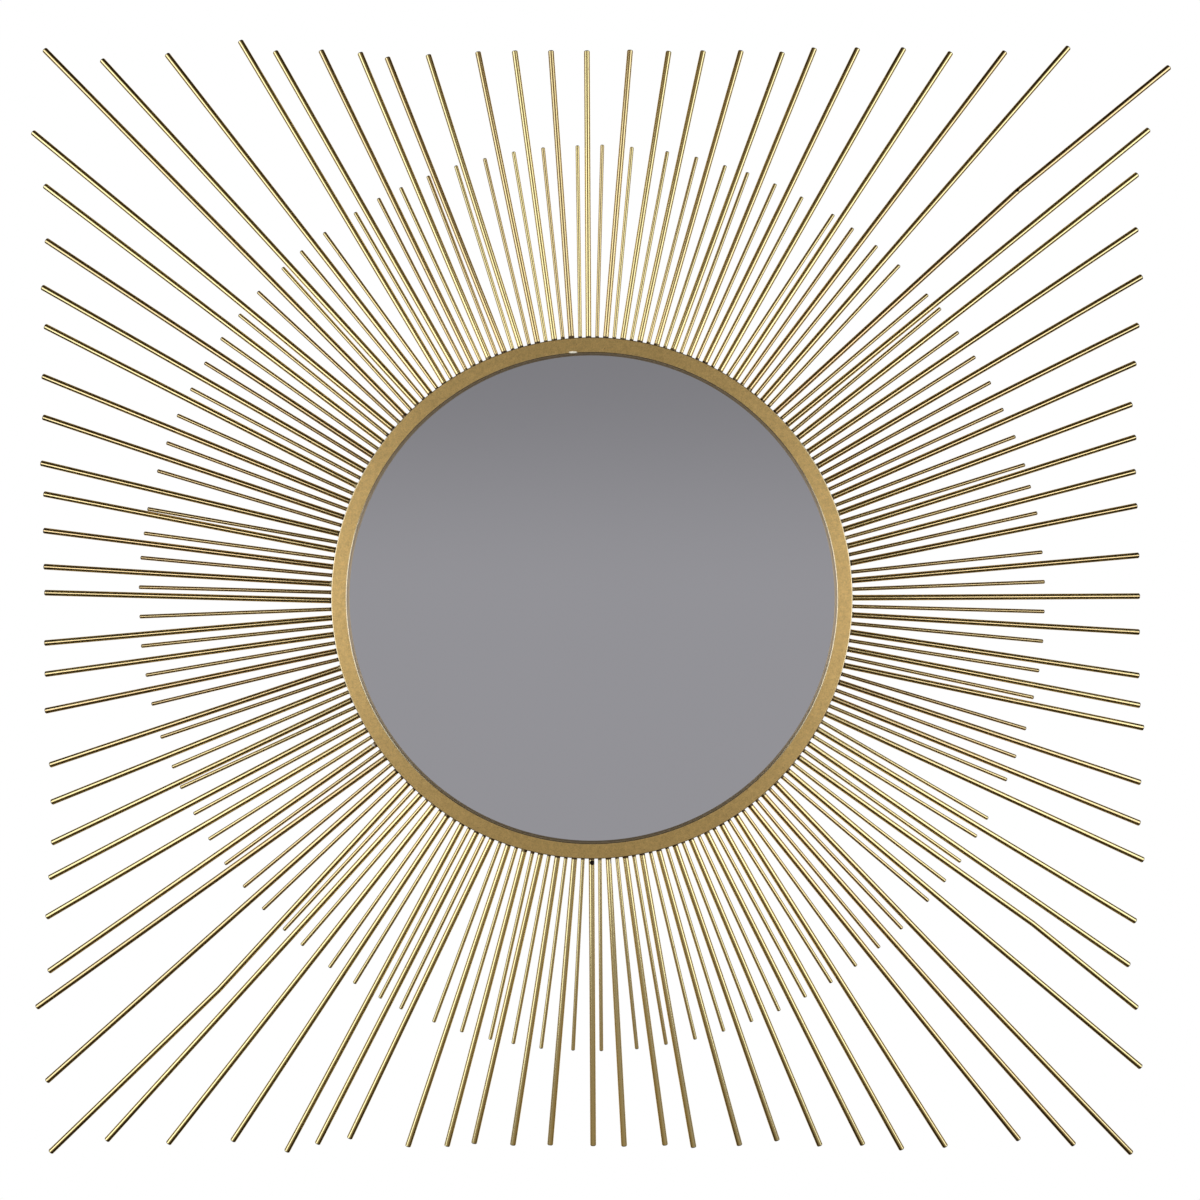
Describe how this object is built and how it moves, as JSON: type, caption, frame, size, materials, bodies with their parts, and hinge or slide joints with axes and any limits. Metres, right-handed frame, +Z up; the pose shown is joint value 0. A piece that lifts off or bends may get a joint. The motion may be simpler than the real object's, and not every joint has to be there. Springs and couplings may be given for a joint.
{
  "type": "wall mirror",
  "caption": "Round wall mirror in a narrow gold rim, set in a flat burst of straight rods: long ones end on a square outline, short ones between them end on a circle.",
  "frame": {"origin": "middle of the hanging rail's rear face, which lies on the wall, 130 mm above the middle of the glass", "axes": "+Z up along the wall, +Y straight into the wall (the glass faces -Y), +X to the right as seen from the front"},
  "size_m": [0.9372, 0.0275, 0.9169],
  "materials": {
    "rim_gold": "fine brushed, slightly mottled gold",
    "rod_gold": "bright polished gold",
    "silvered_glass": "clear glass, silvered behind",
    "board_fibre": "dark painted fibreboard",
    "rail_zinc": "zinc plated, dull",
    "screw_steel": "plain steel"
  },
  "bodies": {
    "root": {"rim": "rim_gold", "rod_burst": "rod_gold", "mirror_glass": "silvered_glass", "backing_board": "board_fibre", "hanging_rail": "rail_zinc", "rail_screw_1": "screw_steel", "rail_screw_2": "screw_steel", "rail_screw_3": "screw_steel", "rail_screw_4": "screw_steel"}
  },
  "joints": []
}
